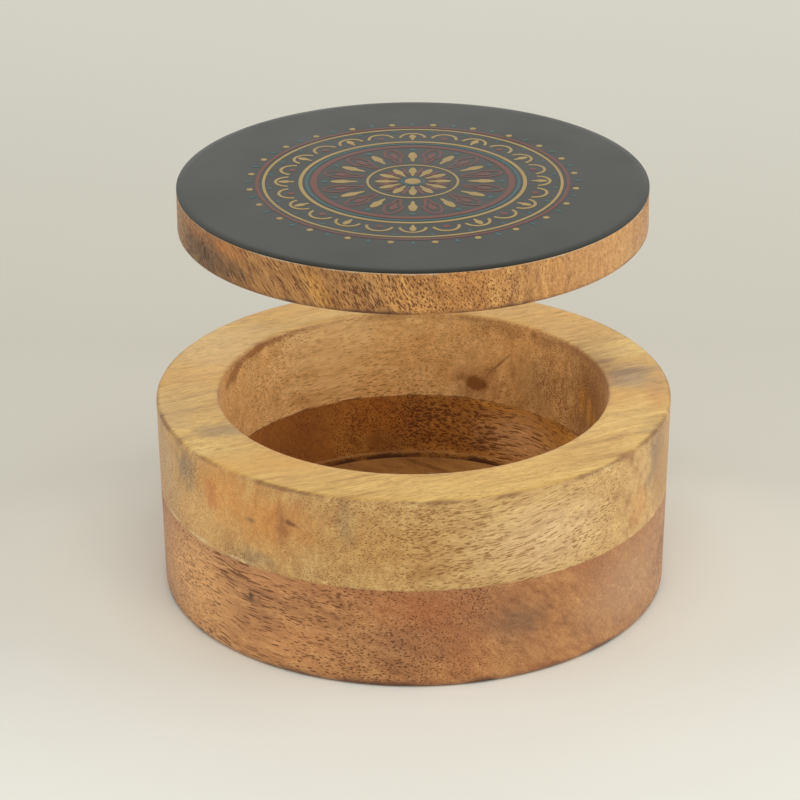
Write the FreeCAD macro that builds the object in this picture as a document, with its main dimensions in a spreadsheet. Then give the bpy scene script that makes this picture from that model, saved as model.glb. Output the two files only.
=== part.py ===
import FreeCAD, Part
import os
import Sketcher

# Round turned wooden box, shown open: a bowl of red-brown wood with a ring of paler wood glued
# on it, and a lift-off lid whose flat top is enamelled. Sizes are in millimetres.
# +Z is the turning axis and points up. The origin is the centre of the flat underside.

SIZES = [
    ("rim_diameter", 127.0, "outside of the box at its rim"),
    ("wall_draft", 1.0, "how far the outside draws in from the rim to the table"),
    ("rim_width", 15.25, "flat top of the wall, from the outside to the bore"),
    ("bore_draft", 1.25, "how far the bore draws in from the rim to its ledge"),
    ("box_height", 49.5, "table to rim"),
    ("seam_height", 26.0, "table to the glued seam between bowl and ring"),
    ("floor_thickness", 9.8, "table to the inside floor"),
    ("ledge_rise", 0.5, "step from the floor up to the ledge round it"),
    ("ledge_width", 0.9, "ledge left at the foot of the wall"),
    ("groove_width", 2.0, "turned groove between ledge and floor"),
    ("groove_depth", 1.5, "groove's bottom below the floor"),
    ("rim_round", 0.9, "outer edge of the rim, sanded round"),
    ("mouth_round", 0.6, "inner edge of the rim, sanded round"),
    ("base_round", 1.4, "edge of the underside, sanded round"),
    ("lid_inset", 6.6, "rim left bare round the closed lid"),
    ("lid_board_thickness", 10.3, "wood of the lid, without its enamel"),
    ("lid_edge_round", 0.8, "lower edge of the lid, sanded round"),
    ("enamel_thickness", 0.6, "coat on the lid's top"),
    ("enamel_edge_round", 0.4, "edge of the coat, rounded as it set"),
    ("plug_thickness", 3.5, "locating disc under the lid"),
    ("plug_clearance", 0.6, "gap between the locating disc and the bore, all round"),
    ("plug_edge_chamfer", 0.8, "lead-in on the locating disc's lower edge"),
    ("lid_lift", 43.9, "rim to the lid's underside, as the lid is shown lifted off"),
]

ON_AXIS = "0"
AT_LEVEL = "0"

# The walls are turned after the ring is glued on, so each is one straight taper past the seam.
RIM_RADIUS = "Sizes.rim_diameter / 2"
BASE_RADIUS = f"{RIM_RADIUS} - Sizes.wall_draft"
SEAM_RADIUS = f"{BASE_RADIUS} + Sizes.wall_draft * Sizes.seam_height / Sizes.box_height"
MOUTH_RADIUS = f"{RIM_RADIUS} - Sizes.rim_width"
FOOT_RADIUS = f"{MOUTH_RADIUS} - Sizes.bore_draft"
LEDGE_HEIGHT = "(Sizes.floor_thickness + Sizes.ledge_rise)"
BORE_SLOPE = f"Sizes.bore_draft / (Sizes.box_height - {LEDGE_HEIGHT})"
SEAM_BORE_RADIUS = f"{MOUTH_RADIUS} - (Sizes.box_height - Sizes.seam_height) * {BORE_SLOPE}"

GROOVE_OUTER_RADIUS = f"{FOOT_RADIUS} - Sizes.ledge_width"
GROOVE_INNER_RADIUS = f"{GROOVE_OUTER_RADIUS} - Sizes.groove_width"
GROOVE_HEIGHT = "Sizes.floor_thickness - Sizes.groove_depth"

LID_RADIUS = f"{RIM_RADIUS} - Sizes.lid_inset"
LID_UNDERSIDE = "Sizes.box_height + Sizes.lid_lift"
PLUG_RADIUS = f"{MOUTH_RADIUS} - Sizes.plug_thickness * {BORE_SLOPE} - Sizes.plug_clearance"

doc = FreeCAD.newDocument("RoundBox")
sheet = doc.addObject("Spreadsheet::Sheet", "Sizes")
for row, (name, millimetres, meaning) in enumerate(SIZES, start=1):
    sheet.set(f"A{row}", name)
    sheet.set(f"B{row}", str(millimetres))
    sheet.set(f"C{row}", meaning)
    sheet.setAlias(f"B{row}", name)
doc.recompute()


def value(expression):
    """What an expression on the sheet's sizes comes to."""
    return float(sheet.evalExpression(expression))


def pin_corner(sketch, line, name, radius, height):
    """Holds the start of a profile line at its radius and its height."""
    start_point = 1
    across, up = -1, -2
    origin = (-1, 1)
    if radius == ON_AXIS:
        sketch.addConstraint(Sketcher.Constraint("PointOnObject", line, start_point, up))
    else:
        distance = Sketcher.Constraint("DistanceX", *origin, line, start_point, value(radius))
        sketch.renameConstraint(sketch.addConstraint(distance), f"{name}_radius")
        sketch.setExpression(f"Constraints.{name}_radius", radius)
    if height == AT_LEVEL:
        sketch.addConstraint(Sketcher.Constraint("PointOnObject", line, start_point, across))
    else:
        distance = Sketcher.Constraint("DistanceY", *origin, line, start_point, value(height))
        sketch.renameConstraint(sketch.addConstraint(distance), f"{name}_height")
        sketch.setExpression(f"Constraints.{name}_height", height)


def turned_piece(label, corners):
    """A body turned from a half section, given as corners of a name, a radius and a height."""
    body = doc.addObject("PartDesign::Body", label)
    sketch = body.newObject("Sketcher::SketchObject", f"{label}_section")
    upright = next(plane for plane in body.Origin.OriginFeatures if plane.Role == "XZ_Plane")
    sketch.AttachmentSupport = [(upright, "")]
    sketch.MapMode = "FlatFace"
    points = [FreeCAD.Vector(value(radius), value(height), 0) for _, radius, height in corners]
    for here, there in zip(points, points[1:] + points[:1]):
        sketch.addGeometry(Part.LineSegment(here, there), False)
    start_point, end_point = 1, 2
    for line in range(len(points)):
        following = (line + 1) % len(points)
        sketch.addConstraint(Sketcher.Constraint("Coincident", line, end_point, following, start_point))
    for line, corner in enumerate(corners):
        pin_corner(sketch, line, *corner)
    turning = body.newObject("PartDesign::Revolution", f"{label}_turning")
    turning.Profile = sketch
    turning.ReferenceAxis = (sketch, ["V_Axis"])
    turning.Angle = 360
    doc.recompute()
    return body


def ease_edge(body, feature, radius, height, size):
    """Rounds (Fillet) or breaks (Chamfer) the round edge that has that radius at that height."""
    tip = body.Tip
    near = 1e-4
    edge = next(
        f"Edge{number}"
        for number, found in enumerate(tip.Shape.Edges, start=1)
        if isinstance(found.Curve, Part.Circle)
        and abs(found.Curve.Radius - value(radius)) < near
        and abs(found.Curve.Center.z - value(height)) < near
    )
    eased = body.newObject(f"PartDesign::{feature}", f"{body.Name}_{feature.lower()}")
    eased.Base = (tip, [edge])
    eased.setExpression("Radius" if feature == "Fillet" else "Size", size)
    doc.recompute()


# The bowl: floor and lower wall turned from one blank, with a ledge and a groove round the floor.
lower_bowl = turned_piece(
    "lower_bowl",
    [
        ("underside_centre", ON_AXIS, AT_LEVEL),
        ("base", BASE_RADIUS, AT_LEVEL),
        ("seam_outside", SEAM_RADIUS, "Sizes.seam_height"),
        ("seam_inside", SEAM_BORE_RADIUS, "Sizes.seam_height"),
        ("wall_foot", FOOT_RADIUS, LEDGE_HEIGHT),
        ("ledge_lip", GROOVE_OUTER_RADIUS, LEDGE_HEIGHT),
        ("groove_outside", GROOVE_OUTER_RADIUS, GROOVE_HEIGHT),
        ("groove_inside", GROOVE_INNER_RADIUS, GROOVE_HEIGHT),
        ("floor_edge", GROOVE_INNER_RADIUS, "Sizes.floor_thickness"),
        ("floor_centre", ON_AXIS, "Sizes.floor_thickness"),
    ],
)
ease_edge(lower_bowl, "Fillet", BASE_RADIUS, AT_LEVEL, "Sizes.base_round")

# The ring: the paler upper wall, glued flat on the bowl and turned flush with it inside and out.
upper_ring = turned_piece(
    "upper_ring",
    [
        ("seam_inside", SEAM_BORE_RADIUS, "Sizes.seam_height"),
        ("seam_outside", SEAM_RADIUS, "Sizes.seam_height"),
        ("rim", RIM_RADIUS, "Sizes.box_height"),
        ("mouth", MOUTH_RADIUS, "Sizes.box_height"),
    ],
)
ease_edge(upper_ring, "Fillet", RIM_RADIUS, "Sizes.box_height", "Sizes.rim_round")
ease_edge(upper_ring, "Fillet", MOUTH_RADIUS, "Sizes.box_height", "Sizes.mouth_round")

# The lid's three pieces are drawn from the board's underside up, then lifted to where it is shown.
lid_board = turned_piece(
    "lid_board",
    [
        ("underside_centre", ON_AXIS, AT_LEVEL),
        ("underside_edge", LID_RADIUS, AT_LEVEL),
        ("top_edge", LID_RADIUS, "Sizes.lid_board_thickness"),
        ("top_centre", ON_AXIS, "Sizes.lid_board_thickness"),
    ],
)
ease_edge(lid_board, "Fillet", LID_RADIUS, AT_LEVEL, "Sizes.lid_edge_round")

ENAMEL_TOP = "Sizes.lid_board_thickness + Sizes.enamel_thickness"
lid_enamel = turned_piece(
    "lid_enamel",
    [
        ("bond_centre", ON_AXIS, "Sizes.lid_board_thickness"),
        ("bond_edge", LID_RADIUS, "Sizes.lid_board_thickness"),
        ("coat_edge", LID_RADIUS, ENAMEL_TOP),
        ("coat_centre", ON_AXIS, ENAMEL_TOP),
    ],
)
ease_edge(lid_enamel, "Fillet", LID_RADIUS, ENAMEL_TOP, "Sizes.enamel_edge_round")

# The locating disc drops into the bore and keeps the closed lid in the middle of the rim.
lid_locating_disc = turned_piece(
    "lid_locating_disc",
    [
        ("glue_centre", ON_AXIS, AT_LEVEL),
        ("lead_centre", ON_AXIS, "-Sizes.plug_thickness"),
        ("lead_edge", PLUG_RADIUS, "-Sizes.plug_thickness"),
        ("glue_edge", PLUG_RADIUS, AT_LEVEL),
    ],
)
ease_edge(lid_locating_disc, "Chamfer", PLUG_RADIUS, "-Sizes.plug_thickness", "Sizes.plug_edge_chamfer")

for lid_piece in (lid_board, lid_enamel, lid_locating_disc):
    lid_piece.setExpression("Placement.Base.z", LID_UNDERSIDE)
doc.recompute()

failed = [item.Label for item in doc.Objects if {"Invalid", "Error"} & set(item.State)]
if failed:
    raise RuntimeError(f"these did not build: {failed}")
pieces = [lower_bowl, upper_ring, lid_board, lid_enamel, lid_locating_disc]
unsound = [piece.Label for piece in pieces if piece.Shape.isNull() or not piece.Shape.isValid()]
if unsound:
    raise RuntimeError(f"these solids are not sound: {unsound}")

os.makedirs("parts", exist_ok=True)
for piece in pieces:
    piece.Shape.exportStep(f"parts/{piece.Label}.step")
    print(f"{piece.Label}: {piece.Shape.Volume / 1000:.2f} cm3, {len(piece.Shape.Solids)} solid")
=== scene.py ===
import math

import bmesh
import bpy
from mathutils import Matrix, Vector


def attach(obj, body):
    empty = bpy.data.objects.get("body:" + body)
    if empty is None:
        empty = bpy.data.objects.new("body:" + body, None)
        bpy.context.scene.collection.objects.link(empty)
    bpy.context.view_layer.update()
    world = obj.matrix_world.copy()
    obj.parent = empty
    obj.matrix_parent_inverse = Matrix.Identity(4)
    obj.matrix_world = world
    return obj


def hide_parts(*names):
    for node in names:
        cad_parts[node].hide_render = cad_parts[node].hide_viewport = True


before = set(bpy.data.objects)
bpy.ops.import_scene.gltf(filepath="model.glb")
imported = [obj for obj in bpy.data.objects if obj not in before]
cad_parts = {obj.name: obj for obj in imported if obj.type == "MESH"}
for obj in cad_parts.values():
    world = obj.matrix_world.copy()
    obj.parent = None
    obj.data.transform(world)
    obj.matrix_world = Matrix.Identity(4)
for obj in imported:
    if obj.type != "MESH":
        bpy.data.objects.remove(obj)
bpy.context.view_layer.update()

# Lower bowl
# The floor and lower wall of the box, turned on a lathe from one blank of red-brown hardwood.
# A narrow ledge and a groove are cut round the floor, and the foot is sanded round.

MM = 0.001
TOUCHING = 0.0001 * MM

RIM_RADIUS = 63.5
RIM_HEIGHT = 49.5
BASE_RADIUS = 62.5
BASE_ROUND = 1.4
SEAM_HEIGHT = 26.0
MOUTH_RADIUS = 48.25
FOOT_RADIUS = 47.0
LEDGE_HEIGHT = 10.3
LEDGE_LIP = 46.1
GROOVE_HEIGHT = 8.3
FLOOR_RADIUS = 44.1
FLOOR_HEIGHT = 9.8
BORE_SLOPE = (MOUTH_RADIUS - FOOT_RADIUS) / (RIM_HEIGHT - LEDGE_HEIGHT)
SEAM_RADIUS = BASE_RADIUS + (RIM_RADIUS - BASE_RADIUS) * SEAM_HEIGHT / RIM_HEIGHT
SEAM_BORE = FOOT_RADIUS + BORE_SLOPE * (SEAM_HEIGHT - LEDGE_HEIGHT)


def pick_vertices(piece, wanted):
    """Selects, in edit mode, the vertices whose place passes the test."""
    bpy.ops.mesh.select_mode(type="VERT")
    bpy.ops.mesh.select_all(action="DESELECT")
    shape = bmesh.from_edit_mesh(piece.data)
    for vertex in shape.verts:
        vertex.select = wanted(vertex.co)
    shape.select_flush(True)
    bmesh.update_edit_mesh(piece.data)


def divide_long_edges(piece, longest):
    """Cuts each long edge of the section into even lengths, so that the walls have rings to shape."""
    shape = bmesh.from_edit_mesh(piece.data)
    ends = [(edge.verts[0].co.copy(), edge.verts[1].co.copy()) for edge in shape.edges]
    for start, end in ends:
        cuts = math.ceil((end - start).length / longest) - 1
        if cuts > 0:
            pick_vertices(piece, lambda at: min((at - start).length, (at - end).length) < TOUCHING)
            bpy.ops.mesh.subdivide(number_cuts=cuts)


def turned(name, corners, closed=False):
    """A lathe-turned mesh. A corner of its half section is a radius, a height and a rounding, in mm."""
    turns = 288
    longest_edge = 1.6 * MM
    round_steps = 5
    crease = math.radians(35)
    bpy.ops.object.select_all(action="DESELECT")
    bpy.ops.mesh.primitive_plane_add(size=MM)
    piece = bpy.context.object
    piece.name = piece.data.name = name
    bpy.ops.object.mode_set(mode="EDIT")
    bpy.ops.mesh.select_all(action="SELECT")
    bpy.ops.mesh.merge(type="CENTER")
    places = [Vector((radius, 0, height)) * MM for radius, height, _ in corners]
    first = places[0]
    last = places[-1]
    bpy.ops.transform.translate(value=first)
    for here, there in zip(places, places[1:]):
        bpy.ops.mesh.extrude_vertices_move(TRANSFORM_OT_translate={"value": there - here})
    if closed:
        pick_vertices(piece, lambda at: min((at - first).length, (at - last).length) < TOUCHING)
        bpy.ops.mesh.edge_face_add()
    for place, (_, _, rounding) in zip(places, corners):
        if rounding:
            pick_vertices(piece, lambda at: (at - place).length < TOUCHING)
            bpy.ops.mesh.bevel(offset=rounding * MM, segments=round_steps, affect="VERTICES")
    divide_long_edges(piece, longest_edge)
    bpy.ops.mesh.select_all(action="SELECT")
    bpy.ops.mesh.spin(steps=turns, angle=math.tau, center=(0, 0, 0), axis=(0, 0, 1))
    bpy.ops.mesh.select_all(action="SELECT")
    bpy.ops.mesh.remove_doubles(threshold=10 * TOUCHING)
    bpy.ops.mesh.normals_make_consistent(inside=False)
    bpy.ops.object.mode_set(mode="OBJECT")
    bpy.ops.object.shade_smooth_by_angle(angle=crease)
    return piece


class Shade:
    """An output socket of a material. Arithmetic on it adds Math nodes, and node adds any other node."""

    def __init__(self, tree, socket=None):
        self.tree = tree
        self.socket = socket

    def node(self, kind, settings=None, sockets=None, out=0):
        made = self.tree.nodes.new(kind)
        for name, setting in (settings or {}).items():
            if name == "stops":
                elements = made.color_ramp.elements
                elements.remove(elements[-1])
                elements[0].position, elements[0].color = setting[0]
                for position, colour in setting[1:]:
                    elements.new(position).color = colour
            else:
                setattr(made, name, setting)
        for key, value in (sockets or {}).items():
            if isinstance(value, Shade):
                self.tree.links.new(value.socket, made.inputs[key])
            else:
                made.inputs[key].default_value = value
        return Shade(self.tree, made.outputs[out])

    def maths(self, operation, first, second):
        return self.node("ShaderNodeMath", {"operation": operation}, {0: first, 1: second})

    def __add__(self, other):
        return self.maths("ADD", self, other)

    def __sub__(self, other):
        return self.maths("SUBTRACT", self, other)

    def __rsub__(self, other):
        return self.maths("SUBTRACT", other, self)

    def __mul__(self, other):
        return self.maths("MULTIPLY", self, other)

    __radd__ = __add__
    __rmul__ = __mul__


def tint(red, green, blue):
    """A colour as seen on a screen, 0 to 255, as the shaders take it."""

    def linear(part):
        return part / 12.92 if part <= 0.04045 else ((part + 0.055) / 1.055) ** 2.4

    return (linear(red / 255), linear(green / 255), linear(blue / 255), 1)


AS_COLOUR = 1


def noise(place, size, detail=2, out=0):
    """Soft noise of a grain size in mm, as a value or as a colour."""
    sockets = {"Vector": place, "Scale": 1 / size, "Detail": detail}
    return place.node("ShaderNodeTexNoise", {}, sockets, out)


def times(vector, by):
    """A place or a colour times another, part by part."""
    return vector.node("ShaderNodeVectorMath", {"operation": "MULTIPLY"}, {0: vector, 1: by})


def times_plus(vector, by, added):
    sockets = {0: vector, 1: by, 2: added}
    return vector.node("ShaderNodeVectorMath", {"operation": "MULTIPLY_ADD"}, sockets)


def length_of(vector):
    return vector.node("ShaderNodeVectorMath", {"operation": "LENGTH"}, {0: vector}, "Value")


def part_of(vector, axis):
    return vector.node("ShaderNodeSeparateXYZ", {}, {0: vector}, axis)


def fade(value, none, full):
    """0 where a value is at none, 1 where it is at full, and eased between them."""
    ends = {"Value": value, "From Min": none, "From Max": full}
    return value.node("ShaderNodeMapRange", {"interpolation_type": "SMOOTHSTEP"}, ends)


def blend(mask, under, over, how="MIX"):
    """One colour laid over another by a mask. A Mix node keeps colours on sockets 6 and 7, and 2 out."""
    settings = {"data_type": "RGBA", "blend_type": how}
    return mask.node("ShaderNodeMix", settings, {0: mask, 6: under, 7: over}, 2)


def in_mm(tree):
    """The surface's place in the part's own frame, in mm."""
    return times(Shade(tree).node("ShaderNodeTexCoord", out="Object"), (1 / MM,) * 3)


ACROSS = (1, 0, 0)


def reached(place, centre, reach, lie=ACROSS):
    """How far a place is from a centre, where 1 is the reach along each of its own axes."""
    lying = Vector(lie).to_track_quat("X", "Z").to_euler()
    sockets = {"Vector": place, "Location": centre, "Rotation": lying, "Scale": reach}
    return length_of(place.node("ShaderNodeMapping", {"vector_type": "TEXTURE"}, sockets))


def wood(
    name, grain, layers, tones, relief, blushes, pores, crowds, end_grain, inside, top, stains_and_painted_light, edges
):
    """Solid hardwood, so that a wall shows dashes where the grain runs along it and dots where it ends.

    grain: way that the fibres run. layers: way that the growth layers stack. tones: ramp stops. relief:
    how far the fibres lighten and darken it. blushes: size, colour and strength of bands of another
    hue. pores: spacing and length in mm, share of the spacing and tint. crowds: place, reach and how
    much larger the pores are there. end_grain, inside, top: tints of the ends of the fibres, the bore and
    faces turned up; those of the bore and of faces turned up are partly painted light.
    stains_and_painted_light: place, reach, way that its length lies, colour and strength of stains and
    of patches of painted light and shade. edges: radius, height, reach, colour and strength of edge
    lines: worn and dirty ones, and painted shade and painted highlights.
    """
    material = bpy.data.materials.new(name)
    material.use_nodes = True
    tree = material.node_tree
    shader = tree.nodes["Principled BSDF"]
    place = in_mm(tree)

    # The fibres have a frame of their own, with x along them. They sway a little, as in a trunk.
    wander = noise(place, 30, 3, AS_COLOUR)
    bent = times_plus(wander, (5, 5, 5), place)
    along = Vector(grain).normalized()
    within = along.cross(Vector(layers)).normalized()
    turn = Matrix((along, within, along.cross(within))).to_euler()
    fibres = bent.node("ShaderNodeMapping", {}, {"Vector": bent, "Rotation": turn})

    # Figure, from broad bands to single fibres. A small first number draws it out along the fibres.
    banded = times(fibres, (0.15, 0.4, 1))
    figure = noise(banded, 9, 3)
    streak = noise(times(fibres, (0.06, 0.4, 1)), 1.6, 3)
    fibre = noise(times(fibres, (0.1, 1, 1)), 0.4, 2)
    strand = fade(noise(times(fibres, (0.07, 0.6, 1)), 0.7, 3), 0.4, 0.6)
    mottle = noise(times(fibres, (0.5, 1, 1)), 3.5, 4)
    tone = (figure - 0.5) * 0.6 + (streak - 0.5) * 0.6 + (mottle - 0.5) * 0.4 + 0.5
    colour = tone.node("ShaderNodeValToRGB", {"stops": tones}, {"Fac": tone})
    for size, hue, strength in blushes:
        band = noise(banded, size, 4)
        colour = blend(fade(band, 0.48, 0.66) * strength, colour, hue)

    # Ends of the fibres take the finish differently. The tints of the bore and of faces turned up are
    # partly painted light, which lightens or darkens the inside and the tops.
    facing = place.node("ShaderNodeTexCoord", out="Normal")
    dot = {0: facing, 1: along}
    ending = facing.node("ShaderNodeVectorMath", {"operation": "DOT_PRODUCT"}, dot, "Value")
    colour = blend(ending * ending, colour, end_grain, "MULTIPLY")
    radius = length_of(times(place, (1, 1, 0)))
    bore = fade(radius, MOUTH_RADIUS + 0.35, MOUTH_RADIUS - 0.05)
    colour = blend(bore, colour, inside, "MULTIPLY")
    upward = part_of(facing, "Z")
    level = upward * upward
    colour = blend(fade(upward, 0.5, 0.9), colour, top, "MULTIPLY")

    # Stains and patches of painted light and shade fray along the figure. Small and thin ones fray less,
    # so that they keep their shape.
    ragged = (mottle - 0.5) * 1.6 + (streak - 0.5) * 1.6
    for centre, reach, lie, stain_and_light_tint, strength in stains_and_painted_light:
        fray = min(1, 5 / max(reach), min(reach) / 3)
        distance = reached(place, centre, reach, lie) + ragged * fray
        colour = blend(fade(distance, 1.2, 0.1) * strength, colour, stain_and_light_tint)

    # Fibres lighten and darken the colour, more in its blue than in its red.
    light = (fibre - 0.5) + (streak - 0.5) * 0.3 + (strand - 0.5) * 0.16
    light = light * relief * (1 - level * 0.4)
    colour = times(colour, times_plus(light, (0.75, 1.0, 1.35), (1, 1, 1)))

    # Pores are slender cells along the fibres, in two sizes, and crowd together in places.
    spacing, length, share, hue = pores
    crowd = noise(times(fibres, (0.4, 1, 1)), 9, 2) * 1.4 + 0.3
    for centre, reach, more in crowds:
        crowd = crowd + fade(reached(place, centre, reach), 1.2, 0.4) * more
    wobble = noise(fibres, 0.8, 1, AS_COLOUR)
    slender = times_plus(wobble, (0.3, 0.3, 0.3), times(fibres, (spacing / length, 1, 1)))
    cells = {"Vector": slender, "Scale": 1 / spacing}
    coarse = slender.node("ShaderNodeTexVoronoi", {}, cells, "Distance")
    small_cells = {"Vector": slender, "Scale": 1.9 / spacing}
    fine = slender.node("ShaderNodeTexVoronoi", {}, small_cells, "Distance")
    width = crowd * share
    pore = fade(coarse, width + 0.1, width - 0.08) + 0.45 * fade(fine, width + 0.14, width - 0.1)
    pore = pore * (1 - level * 0.55)
    colour = blend(pore, colour, hue, "MULTIPLY")

    # Edge lines, broken into patches, by how far a place is from the edge's circle. Some are wear and
    # dirt, others painted shade in a groove and under rounded edges, and one a painted highlight.
    height = part_of(place, "Z")
    patches = fade(noise(place, 12, 3), 0.4, 0.6) * 0.8 + 0.2
    for edge_radius, edge_height, reach, stain_and_light_tint, strength in edges:
        outward = radius - edge_radius
        above = height - edge_height
        square = outward * outward + above * above
        distance = square.node("ShaderNodeMath", {"operation": "SQRT"}, {0: square})
        wear_and_painted_light = fade(distance + ragged * 0.5, reach, 0) * patches
        colour = blend(wear_and_painted_light * strength, colour, stain_and_light_tint)

    surface = fibre * 0.4 + streak * 0.3 - pore
    sanding = {"Strength": 0.35, "Distance": 0.1 * MM, "Height": surface}
    bump = surface.node("ShaderNodeBump", {}, sanding)
    polish = 0.5 + pore * 0.2 + (mottle - 0.5) * 0.25
    tree.links.new(colour.socket, shader.inputs["Base Color"])
    tree.links.new(polish.socket, shader.inputs["Roughness"])
    tree.links.new(bump.socket, shader.inputs["Normal"])
    shader.inputs["Sheen Weight"].default_value = 0.12
    shader.inputs["Sheen Roughness"].default_value = 0.4
    return material


bowl = turned(
    "red_wood_bowl",
    [
        (0, 0, 0),
        (BASE_RADIUS, 0, BASE_ROUND),
        (SEAM_RADIUS, SEAM_HEIGHT, 0),
        (SEAM_BORE, SEAM_HEIGHT, 0),
        (FOOT_RADIUS, LEDGE_HEIGHT, 0.15),
        (LEDGE_LIP, LEDGE_HEIGHT, 0.25),
        (LEDGE_LIP, GROOVE_HEIGHT, 0.4),
        (FLOOR_RADIUS, GROOVE_HEIGHT, 0.4),
        (FLOOR_RADIUS, FLOOR_HEIGHT, 0.3),
        (0, FLOOR_HEIGHT, 0),
    ],
)
bowl.data.materials.append(
    wood(
        "red_wood",
        grain=(0.77, -0.63, -0.06),
        layers=(0.5, 0.5, 0.7),
        tones=[
            (0.15, tint(136, 82, 42)),
            (0.40, tint(184, 126, 74)),
            (0.60, tint(205, 148, 91)),
            (0.85, tint(226, 176, 118)),
        ],
        relief=0.9,
        blushes=[(26, tint(196, 120, 64), 0.5), (15, tint(160, 108, 72), 0.4)],
        pores=(0.54, 6.6, 0.3, (0.37, 0.28, 0.2, 1)),
        crowds=[
            ((45, -45, 13), (36, 30, 30), -0.8),
            ((14, 45, 18), (22, 10, 9), 0.6),
            ((-30, 36, 18), (16, 14, 10), -0.3),
        ],
        end_grain=(0.84, 0.78, 0.72, 1),
        inside=(1.04, 1.04, 0.54, 1),
        top=(0.75, 0.83, 1.2, 1),
        stains_and_painted_light=[
            ((-38.6, -49.7, 17.2), (3.4, 3, 3.0), ACROSS, tint(150, 94, 56), 0.5),
            ((-38.9, -49.4, 17.6), (0.8, 1, 1.7), ACROSS, tint(72, 40, 22), 1.2),
            ((-39.6, -48.8, 17.0), (2.6, 1, 0.7), (1, -0.8, -0.5), tint(92, 54, 30), 1),
            ((-34.5, -52.5, 13), (7, 4, 3), (0.8, -0.5, -0.6), tint(140, 88, 54), 0.5),
            ((1.3, -62.9, 20), (12, 6, 6), ACROSS, tint(180, 104, 52), 0.5),
            ((25, -57.6, 15.5), (12, 6, 6), ACROSS, tint(126, 90, 62), 0.65),
            ((-3, -62, 11), (16, 8, 7), ACROSS, tint(150, 98, 58), 0.4),
            ((-29, -55, 9), (16, 12, 9), ACROSS, tint(222, 156, 96), 0.45),
            ((-33, -53, 23), (18, 12, 4), ACROSS, tint(224, 158, 100), 0.45),
            ((-54, -34, 15), (20, 26, 16), ACROSS, tint(242, 182, 114), 0.65),
            ((52, -36, 13), (22, 24, 16), ACROSS, tint(190, 147, 108), 0.65),
            ((28, 38, 17), (18, 14, 9), ACROSS, tint(236, 188, 130), 0.85),
            ((-30, 36, 18), (20, 16, 12), ACROSS, tint(140, 90, 44), 0.35),
            ((-8, 46.5, 13), (12, 6, 3.5), ACROSS, tint(120, 74, 36), 0.5),
        ],
        edges=[
            # Painted shade in the groove round the floor.
            (LEDGE_LIP - 0.2, GROOVE_HEIGHT + 0.6, 1.5, tint(96, 58, 30), 1.8),
            # Painted shade along the foot, where its rounding turns down to the floor.
            (BASE_RADIUS, 0, 2.6, tint(98, 52, 26), 1.2),
        ],
    )
)
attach(bowl, "box")
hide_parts("lower_bowl")

# Upper ring
# The upper wall of the box, cut from a paler yellow-tan hardwood board and glued flat on the bowl.
# Both are then turned together, so the walls run on past the seam, and the rim's edges are sanded.

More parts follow.
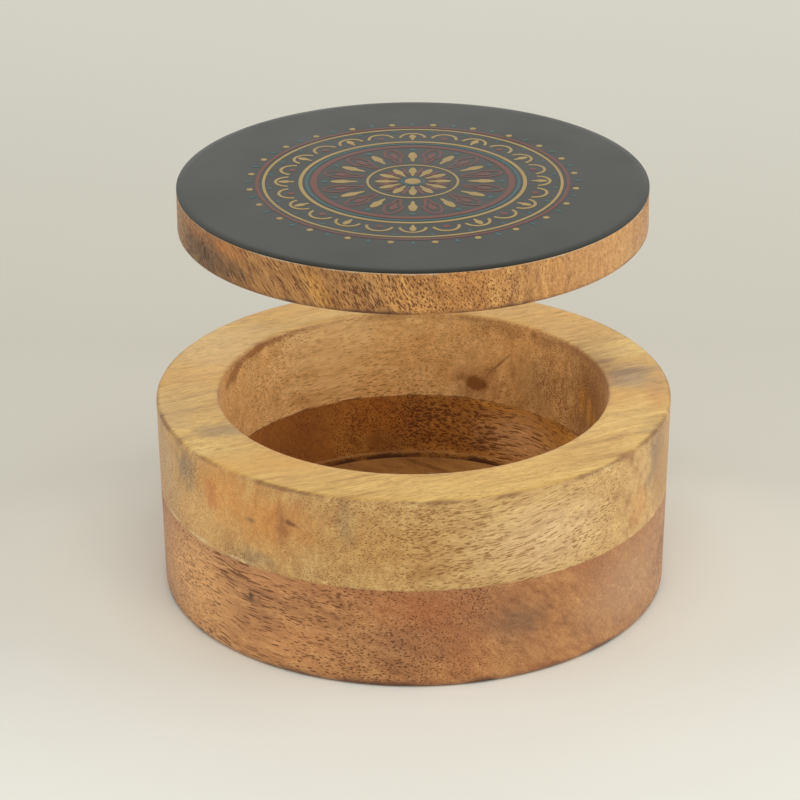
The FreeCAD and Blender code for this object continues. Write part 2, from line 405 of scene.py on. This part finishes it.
RIM_ROUND = 0.9
MOUTH_ROUND = 0.6
ring = turned(
    "pale_wood_ring",
    [
        (SEAM_BORE, SEAM_HEIGHT, 0),
        (SEAM_RADIUS, SEAM_HEIGHT, 0),
        (RIM_RADIUS, RIM_HEIGHT, RIM_ROUND),
        (MOUTH_RADIUS, RIM_HEIGHT, MOUTH_ROUND),
    ],
    closed=True,
)
GREY_STAIN = tint(156, 130, 96)
ORANGE_STAIN = tint(214, 146, 70)
KNOT = tint(146, 97, 48)
GOLD_FLECK = tint(236, 172, 64)
# A painted highlight: a thin bright line just above the outer seam.
SEAM_HIGHLIGHT = tint(240, 212, 166)
# Painted shade under the mouth's rounded edge, partly the wood's own brown there. The mouth mark on the
# back left is a brown mark that is partly painted shade.
MOUTH_SHADE = tint(158, 110, 64)
MOUTH_MARK_AND_SHADE = tint(182, 128, 72)
ring.data.materials.append(
    wood(
        "pale_wood",
        grain=(0.90, 0.41, 0.10),
        layers=(-0.41, 0.9, 0.1),
        tones=[
            (0.15, tint(166, 116, 64)),
            (0.40, tint(208, 166, 105)),
            (0.60, tint(222, 184, 120)),
            (0.85, tint(236, 206, 150)),
        ],
        relief=0.8,
        blushes=[(30, tint(222, 160, 78), 0.45), (18, tint(190, 148, 92), 0.3)],
        pores=(0.48, 6.0, 0.285, (0.54, 0.41, 0.28, 1)),
        crowds=[
            ((-38, -50, 42), (18, 16, 12), -0.7),
            ((56, -28, 38), (14, 18, 14), -0.6),
            ((8, -62, 40), (16, 8, 14), 0.15),
            ((40, 24, 36), (16, 18, 14), 0.35),
            ((-6, 47, 32), (18, 8, 7), 0.3),
            ((0, 46, 38), (50, 34, 14), -0.25),
        ],
        end_grain=(0.86, 0.75, 0.64, 1),
        # The bore's tint is partly its own paler tone and partly painted light that brightens the inside.
        inside=(1.38, 1.57, 1.93, 1),
        # The tint of faces turned up is partly the rim's paler sanded face and partly painted light on
        # it.
        top=(1.17, 1.22, 0.98, 1),
        stains_and_painted_light=[
            ((-8, -62, 37), (24, 9, 13), ACROSS, tint(196, 143, 74), 0.6),
            ((-34.9, -52.9, 40), (17, 15, 10), ACROSS, tint(210, 136, 56), 0.65),
            ((-47, -43, 42), (9, 9, 9), ACROSS, tint(226, 156, 72), 0.55),
            ((-52, -36, 33), (14, 16, 9), ACROSS, tint(236, 186, 114), 0.55),
            ((-58.5, -23, 26.6), (6, 1.4, 0.7), (1, -2.5, 0), SEAM_HIGHLIGHT, 0.55),
            ((-51.6, -36.2, 26.6), (7, 1.4, 0.7), (1, -1.42, 0), SEAM_HIGHLIGHT, 0.55),
            ((-41.6, -47.5, 26.6), (7, 1.4, 0.7), (1, -0.88, 0), SEAM_HIGHLIGHT, 0.5),
            ((-55, -31.7, 43.4), (5, 6, 7), ACROSS, tint(142, 124, 98), 0.65),
            ((-37.6, -50.7, 28.5), (9, 8, 3), ACROSS, GREY_STAIN, 0.55),
            ((-31, -55, 39), (2.2, 3, 7), ACROSS, tint(158, 98, 50), 0.75),
            ((-47.9, -41.4, 40.6), (2.6, 3, 4), ACROSS, tint(196, 112, 52), 0.6),
            ((-38.6, -50.1, 38.4), (1.8, 1.6, 0.9), ACROSS, tint(140, 102, 62), 0.8),
            ((-28.8, -56.3, 40.5), (2.4, 2, 0.9), (2, -1, -0.6), tint(120, 66, 30), 0.9),
            ((-60, -18, 38), (8, 14, 14), ACROSS, tint(206, 174, 132), 0.5),
            ((-16, -61.4, 43), (3, 4, 7), ACROSS, GREY_STAIN, 0.45),
            ((32, -55, 36), (26, 16, 12), ACROSS, tint(236, 200, 154), 0.5),
            ((58.6, -23, 41.5), (7, 9, 10), ACROSS, tint(142, 121, 98), 1),
            ((60.5, -18, 33), (8, 11, 9), ACROSS, tint(190, 144, 90), 0.7),
            ((54.4, -32.2, 33), (6, 5, 6), ACROSS, ORANGE_STAIN, 0.4),
            ((-49, 26, 49.5), (18, 22, 3), ACROSS, tint(248, 214, 150), 0.5),
            ((0, -56, 49.5), (28, 8, 3), ACROSS, tint(242, 208, 126), 0.4),
            ((54, 6, 49.5), (12, 9, 3), (0.9, 0.2, 0), tint(172, 146, 110), 0.75),
            ((51.5, 9.5, 49.5), (9, 2.4, 3), (0.9, 0.25, 0), tint(140, 112, 76), 0.6),
            ((47.7, 16.3, 49.5), (3.6, 2, 3), (0.9, 0.4, 0), tint(140, 106, 70), 0.7),
            ((59.4, -5, 49.5), (3, 11, 3), ACROSS, ORANGE_STAIN, 0.5),
            ((-46.5, -24, 49.5), (9, 5, 3), ACROSS, GREY_STAIN, 0.6),
            # The rim's top is darker at its left and right ends: painted shade.
            ((-58, -8, 49.5), (8, 20, 3), ACROSS, tint(206, 168, 112), 0.45),
            ((61.5, 3, 49.5), (4, 14, 3), ACROSS, tint(206, 160, 98), 0.5),
            ((16.8, 44.6, 30.4), (9, 7, 7), ACROSS, tint(170, 112, 62), 0.6),
            ((16.6, 44.7, 30.6), (4.8, 5, 2.4), ACROSS, KNOT, 1.5),
            ((22.7, 42.1, 37.6), (6, 0.5, 0.5), (4.9, -2.4, 5.9), tint(148, 104, 60), 0.8),
            ((-45.4, 15.8, 46.3), (9, 2.6, 2.0), (4.6, 9, 2.6), MOUTH_MARK_AND_SHADE, 1.2),
            ((-40.2, 26.6, 48.2), (12, 2.4, 1.6), (5.5, 8.4, 0.6), MOUTH_MARK_AND_SHADE, 1.2),
            ((-30.5, 36.5, 48.4), (10, 1.8, 1.2), (7.7, 6.4, 0), MOUTH_MARK_AND_SHADE, 1),
            ((24, 41.4, 46.9), (10, 1.6, 2), (8.7, -5, 0), MOUTH_SHADE, 0.5),
            ((34, 33.8, 46.9), (8, 1.6, 2), (7, -7, 0), MOUTH_SHADE, 0.5),
            ((32, 35.5, 33), (14, 13, 14), ACROSS, tint(150, 112, 66), 0.45),
            ((44.5, 15, 38), (11, 20, 24), ACROSS, tint(148, 98, 34), 0.78),
            ((42.6, 20.9, 36.5), (1.4, 2.6, 5), ACROSS, GOLD_FLECK, 0.8),
            ((44.2, 17.4, 35.5), (1.2, 2.2, 5), ACROSS, GOLD_FLECK, 0.8),
            ((40.4, 25, 34), (1.2, 1.8, 5), ACROSS, GOLD_FLECK, 0.4),
            ((45.3, 14.2, 33), (0.9, 1.6, 4), ACROSS, GOLD_FLECK, 0.6),
            ((60, -18, 38), (8, 16, 14), ACROSS, tint(190, 138, 72), 0.65),
        ],
        edges=[
            (RIM_RADIUS - 0.1, RIM_HEIGHT - 0.2, 1.1, tint(124, 76, 36), 0.75),
            (MOUTH_RADIUS - 0.65, RIM_HEIGHT - 0.9, 2.0, MOUTH_SHADE, 0.7),
            (SEAM_BORE, SEAM_HEIGHT, 0.5, tint(110, 70, 36), 0.9),
            (SEAM_RADIUS, SEAM_HEIGHT, 0.4, tint(150, 104, 62), 0.6),
        ],
    )
)
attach(ring, "box")
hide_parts("upper_ring")

# Lid board
# A round board of golden-brown hardwood, sawn so that its grain runs steeply through the edge.
# Its lower edge is sanded round, and it has a hairline crack at one side.

LID_RADIUS = 56.9
LID_UNDERSIDE = 93.4
LID_ROUND = 0.8
BOARD_TOP = 103.7
LID_GRAIN = (0.45, -0.35, -0.75)
DARK_STREAK = tint(64, 38, 18)
CRACK = tint(110, 66, 34)
UNTINTED = (1, 1, 1, 1)
board = turned(
    "lid_board_wood",
    [
        (0, LID_UNDERSIDE, 0),
        (LID_RADIUS, LID_UNDERSIDE, LID_ROUND),
        (LID_RADIUS, BOARD_TOP, 0),
        (0, BOARD_TOP, 0),
    ],
)
lid_wood = wood(
    "lid_wood",
    grain=LID_GRAIN,
    layers=(0.7, 0.7, 0.1),
    tones=[
        (0.15, tint(122, 76, 38)),
        (0.40, tint(188, 132, 70)),
        (0.60, tint(212, 157, 88)),
        (0.85, tint(230, 184, 116)),
    ],
    relief=1.4,
    blushes=[(22, tint(206, 140, 68), 0.45), (13, tint(160, 118, 76), 0.4)],
    pores=(0.43, 3.8, 0.32, (0.31, 0.21, 0.14, 1)),
    crowds=[((44, -36, 99), (26, 22, 20), -0.8), ((-6, -57, 98), (14, 8, 8), 0.2)],
    end_grain=(0.96, 0.92, 0.86, 1),
    inside=UNTINTED,
    top=UNTINTED,
    stains_and_painted_light=[
        # The lid is darker towards its left end, partly in its wood and partly as painted shade.
        ((-30, -48, 98), (26, 16, 14), ACROSS, tint(150, 102, 52), 0.6),
        ((-50, -26, 98), (20, 24, 12), ACROSS, tint(94, 60, 26), 0.85),
        ((-56, -9, 98), (5, 11, 9), ACROSS, tint(164, 124, 76), 0.6),
        ((-45, -35, 96.4), (9, 9, 3.6), ACROSS, tint(92, 60, 30), 0.65),
        ((-43.5, -37.2, 102), (8, 8, 2.2), ACROSS, tint(196, 120, 58), 0.6),
        ((-51, -25, 102), (9, 9, 2.6), ACROSS, tint(206, 130, 68), 0.4),
        ((-40, -40.9, 97.7), (5, 0.7, 0.5), LID_GRAIN, DARK_STREAK, 1),
        ((-37.6, -43.1, 97.8), (4, 0.6, 0.4), LID_GRAIN, DARK_STREAK, 0.8),
        ((-22, -52, 98), (8, 3, 3), LID_GRAIN, tint(222, 160, 72), 0.6),
        ((46, -32, 99), (34, 34, 14), ACROSS, tint(200, 146, 88), 0.85),
        ((36.3, -44.2, 98.0), (4, 0.5, 0.4), (0.2, 0.1, 1), CRACK, 1),
        ((35.8, -44.6, 102.2), (2.4, 0.5, 0.4), (-0.5, -0.4, 1), CRACK, 1),
    ],
    edges=[
        # Pale line at the board's top edge: partly a sanded raw edge and partly a painted highlight of
        # the enamel's lip.
        (LID_RADIUS, BOARD_TOP, 0.4, tint(226, 205, 178), 0.6),
        # Painted shade under the board's rounded lower edge.
        (LID_RADIUS, LID_UNDERSIDE, 1.5, tint(98, 56, 22), 1.4),
    ],
)
board.data.materials.append(lid_wood)
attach(board, "lid")
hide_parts("lid_board")

# Locating disc
# A shallow disc of the lid's wood, glued under the board. It drops into the bore with a little room
# all round, and its lower edge is broken so that it finds its way in.

PLUG_RADIUS = 47.538
PLUG_BOTTOM = 89.9
PLUG_LEAD_IN = 0.8
disc = turned(
    "lid_disc_wood",
    [
        (0, PLUG_BOTTOM, 0),
        (PLUG_RADIUS, PLUG_BOTTOM, PLUG_LEAD_IN),
        (PLUG_RADIUS, LID_UNDERSIDE, 0),
        (0, LID_UNDERSIDE, 0),
    ],
)
disc.data.materials.append(lid_wood)
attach(disc, "lid")
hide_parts("lid_locating_disc")

# Enamel
# A poured charcoal coat over the whole top of the lid. It sets satin, a little uneven, and draws
# down to a thin round lip at the edge of the board.

ENAMEL_TOP = 104.3
INK_ROOM = 0.04
COAT_TOP = ENAMEL_TOP - INK_ROOM
DROOP = 0.24
DROOP_WIDTH = 1.9
LIP_STEPS = (1, 0.9, 0.75, 0.6, 0.45, 0.3, 0.15, 0)
lip = [(LID_RADIUS - DROOP_WIDTH * (1 - part), COAT_TOP - DROOP * part**2, 0) for part in LIP_STEPS]
enamel = turned(
    "lid_enamel_coat",
    [
        (0, BOARD_TOP, 0),
        (LID_RADIUS, BOARD_TOP, 0),
        *lip,
        (0, COAT_TOP, 0),
    ],
)


def satin(name, dark, light):
    """Set enamel or ink: an uneven satin skin over one colour, with the faint peel of a poured coat."""
    material = bpy.data.materials.new(name)
    material.use_nodes = True
    tree = material.node_tree
    shader = tree.nodes["Principled BSDF"]
    place = in_mm(tree)
    cloud = noise(place, 16, 4)
    peel = noise(place, 1.4, 2)
    colour = blend(fade(cloud, 0.3, 0.7), dark, light)
    sheen = 0.36 + (cloud - 0.5) * 0.2
    pour = {"Strength": 0.15, "Distance": 0.05 * MM, "Height": peel}
    relief = peel.node("ShaderNodeBump", {}, pour)
    tree.links.new(colour.socket, shader.inputs["Base Color"])
    tree.links.new(sheen.socket, shader.inputs["Roughness"])
    tree.links.new(relief.socket, shader.inputs["Normal"])
    shader.inputs["Specular IOR Level"].default_value = 0.3
    return material


enamel.data.materials.append(satin("enamel", tint(32, 33, 27), tint(41, 42, 35)))
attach(enamel, "lid")
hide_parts("lid_enamel")

# Printed rosette
# A round ornament screen printed on the enamel in gold, red and teal ink, one thin film a colour.
# It is a plain twelve-fold rosette of petals, rings, scallops and dots.

INK_FILM = 0.06
INK_BASE = ENAMEL_TOP - INK_FILM
FOLD = 12


def ink_disc(reach, corners):
    """A flat round of ink about the origin, left in edit mode with all of it selected."""
    bpy.ops.object.select_all(action="DESELECT")
    bpy.ops.mesh.primitive_circle_add(vertices=corners, radius=reach * MM, fill_type="NGON")
    bpy.ops.object.mode_set(mode="EDIT")
    bpy.ops.mesh.select_all(action="SELECT")


def hollow(line):
    """Leaves only a line of ink round the edge of the shape."""
    bpy.ops.mesh.inset(thickness=line * MM)
    bpy.ops.mesh.delete(type="FACE")
    bpy.ops.mesh.select_all(action="SELECT")


def set_film(count=1, out=0, half_step=False):
    """Moves the shape out from the middle, gives it the film's thickness and repeats it all round."""
    bpy.ops.transform.translate(value=Vector((out, 0, INK_BASE)) * MM)
    bpy.ops.mesh.extrude_region_move(TRANSFORM_OT_translate={"value": (0, 0, INK_FILM * MM)})
    bpy.ops.mesh.select_all(action="SELECT")
    bpy.ops.mesh.normals_make_consistent(inside=False)
    if half_step:
        turn = math.pi / count
        bpy.ops.transform.rotate(value=turn, orient_axis="Z", center_override=(0, 0, 0))
    if count > 1:
        swing = math.tau * (count - 1) / count
        bpy.ops.mesh.spin(steps=count - 1, angle=swing, dupli=True, center=(0, 0, 0), axis=(0, 0, 1))
    bpy.ops.object.mode_set(mode="OBJECT")
    return bpy.context.object


def ink_ring(inner, outer):
    ink_disc(outer, 160)
    hollow(outer - inner)
    return set_film()


def petals(count, inner, outer, width, line=0, half_step=False):
    """Rounded petals, narrower towards the middle, filled or drawn as a line."""
    length = outer - inner
    ink_disc(1, 20)
    bpy.ops.transform.resize(value=(length / 2, width / 2, 1))
    pick_vertices(bpy.context.object, lambda at: at.x < -0.15 * length * MM)
    bpy.ops.transform.resize(value=(1, 0.55, 1))
    bpy.ops.mesh.select_mode(type="FACE")
    bpy.ops.mesh.select_all(action="SELECT")
    if line:
        hollow(line)
    return set_film(count, (inner + outer) / 2, half_step)


def dots(count, out, reach, half_step=False):
    ink_disc(reach, 12)
    return set_film(count, out, half_step)


def scallops(count, out, reach, line):
    """Half rounds of line, side by side, that bow outwards."""
    ink_disc(reach, 32)
    hollow(line)
    bpy.ops.mesh.bisect(plane_co=(0, 0, 0), plane_no=(1, 0, 0), clear_inner=True)
    bpy.ops.mesh.select_all(action="SELECT")
    return set_film(count, out)


def ink_print(name, shapes, ink):
    """Joins the shapes of one ink into one printed film."""
    bpy.ops.object.select_all(action="DESELECT")
    for shape in shapes:
        shape.select_set(True)
    bpy.context.view_layer.objects.active = shapes[0]
    bpy.ops.object.join()
    film = bpy.context.object
    film.name = film.data.name = name
    film.data.materials.append(ink)
    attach(film, "lid")


ink_print(
    "gold_ink",
    [
        dots(1, 0, 2.0),
        petals(FOLD, 3.4, 9.2, 2.0),
        ink_ring(10.6, 11.2),
        petals(FOLD, 13.2, 19.8, 2.2),
        ink_ring(26.6, 27.5),
        scallops(2 * FOLD, 30.0, 3.4, 0.7),
        ink_ring(35.6, 36.3),
        petals(FOLD, 28.4, 32.4, 1.7),
        dots(2 * FOLD, 39.4, 0.8, half_step=True),
    ],
    satin("gold_ink", (0.33, 0.21, 0.045, 1), (0.42, 0.28, 0.07, 1)),
)
ink_print(
    "red_ink",
    [
        petals(FOLD, 3.4, 9.2, 1.1, half_step=True),
        petals(FOLD, 12.0, 22.4, 4.9, line=0.6, half_step=True),
        ink_ring(23.2, 24.6),
        petals(FOLD, 15.0, 19.6, 1.8, half_step=True),
        dots(FOLD, 30.2, 0.9, half_step=True),
        ink_ring(37.1, 37.9),
    ],
    satin("red_ink", (0.115, 0.018, 0.008, 1), (0.16, 0.028, 0.012, 1)),
)
ink_print(
    "teal_ink",
    [
        ink_ring(2.4, 2.9),
        dots(FOLD, 21.4, 0.7),
        ink_ring(25.3, 25.9),
        dots(2 * FOLD, 34.6, 0.55, half_step=True),
        petals(2 * FOLD, 38.4, 40.6, 0.9),
    ],
    satin("teal_ink", (0.004, 0.075, 0.08, 1), (0.008, 0.11, 0.11, 1)),
)

# Studio floor
# A pale painted sweep under and behind the box, a little clouded. Its colour holds painted light: it is
# lighter in front and close round the box, where the soft lights meet, and darker in a band behind.

bpy.ops.object.select_all(action="DESELECT")
bpy.ops.mesh.primitive_plane_add(size=6)
floor = bpy.context.object
floor.name = "studio_floor"
sweep = bpy.data.materials.new("studio_sweep")
sweep.use_nodes = True
FLOOR_FRONT = -150
FLOOR_BACK = 500
place = in_mm(sweep.node_tree)
back_to_front = part_of(place, "Y")
span = {"Value": back_to_front, "From Min": FLOOR_FRONT, "From Max": FLOOR_BACK}
depth = back_to_front.node("ShaderNodeMapRange", {}, span)
tone = depth + (noise(place, 60, 3) - 0.5) * 0.03
tone_and_painted_light = [
    (0.05, tint(248, 248, 239)),
    (0.13, tint(242, 241, 232)),
    (0.22, tint(232, 230, 219)),
    (0.45, tint(220, 216, 203)),
    (0.95, tint(241, 240, 228)),
]
ground = tone.node("ShaderNodeValToRGB", {"stops": tone_and_painted_light}, {"Fac": tone})
# Painted light round the box, which lightens the floor where the box shades it.
painted_light_round_box = fade(reached(place, (0, 5, 0), (130, 62, 50)), 1.1, 0.75)
ground = blend(painted_light_round_box * 0.6, ground, tint(244, 241, 230))
sweep_shader = sweep.node_tree.nodes["Principled BSDF"]
sweep_shader.inputs["Roughness"].default_value = 0.7
sweep.node_tree.links.new(ground.socket, sweep_shader.inputs["Base Color"])
floor.data.materials.append(sweep)

# Studio light
# Warm white walls that are brightest near the floor, and four square soft lights a metre from the
# box. The lifted lid throws no shadow, so that the inside of the box stays evenly lit.

world = bpy.data.worlds.new("studio_walls")
bpy.context.scene.world = world
world.use_nodes = True
direction = Shade(world.node_tree).node("ShaderNodeTexCoord", out="Generated")
glow = fade(part_of(direction, "Z"), 1.0, 0.0) * 0.5 + 0.2
background = world.node_tree.nodes["Background"]
background.inputs["Color"].default_value = (1.0, 0.99, 0.91, 1)
world.node_tree.links.new(glow.socket, background.inputs["Strength"])

SOFTBOX_SIDE = 0.8
LIT_HEIGHT = 50


def softbox(name, power, bearing, rise):
    """A soft light aimed at the box, at a bearing from the right and a rise, both in degrees."""
    lamp = bpy.data.lights.new(name, "AREA")
    lamp.energy = power
    lamp.size = SOFTBOX_SIDE
    light = bpy.data.objects.new(name, lamp)
    bpy.context.scene.collection.objects.link(light)
    turn = math.radians(bearing)
    lift = math.radians(rise)
    level = math.cos(lift)
    toward = Vector((math.cos(turn) * level, -math.sin(turn) * level, math.sin(lift)))
    light.location = Vector((0, 0, LIT_HEIGHT * MM)) + toward
    light.rotation_euler = (-toward).to_track_quat("-Z", "Y").to_euler()


softbox("right_light", 3.5, 5, 25)
softbox("left_light", 2.2, 170, 25)
softbox("back_light", 1.05, -90, 27)
softbox("front_light", 4.0, 80, 62)
for lid_piece in (board, disc, enamel):
    lid_piece.visible_shadow = False

# Camera
# A long lens in front of the box and above it, aimed a little left of the rim's centre and below it.
# It is rolled by a third of a degree.

CAMERA_DISTANCE = 865.2 * MM
CAMERA_ELEVATION = math.radians(24.39)
CAMERA_ROLL = math.radians(-0.3)
AIM_LEFT = 3.34 * MM
AIM_BELOW = 2.84 * MM
rim_centre = Vector((0, 0, RIM_HEIGHT * MM))
toward_camera = Vector((0, -math.cos(CAMERA_ELEVATION), math.sin(CAMERA_ELEVATION)))
right = Vector((1, 0, 0))
up = toward_camera.cross(right)
aim = rim_centre - right * AIM_LEFT - up * AIM_BELOW
camera_data = bpy.data.cameras.new("camera")
camera_data.lens = 157.5
camera_data.sensor_width = 36.0
camera = bpy.data.objects.new("camera", camera_data)
bpy.context.scene.collection.objects.link(camera)
camera.location = rim_centre + toward_camera * CAMERA_DISTANCE
looking = (aim - camera.location).to_track_quat("-Z", "Y").to_matrix()
camera.rotation_euler = (looking @ Matrix.Rotation(CAMERA_ROLL, 3, "Z")).to_euler()
bpy.context.scene.camera = camera
bpy.context.scene.view_settings.view_transform = "Standard"
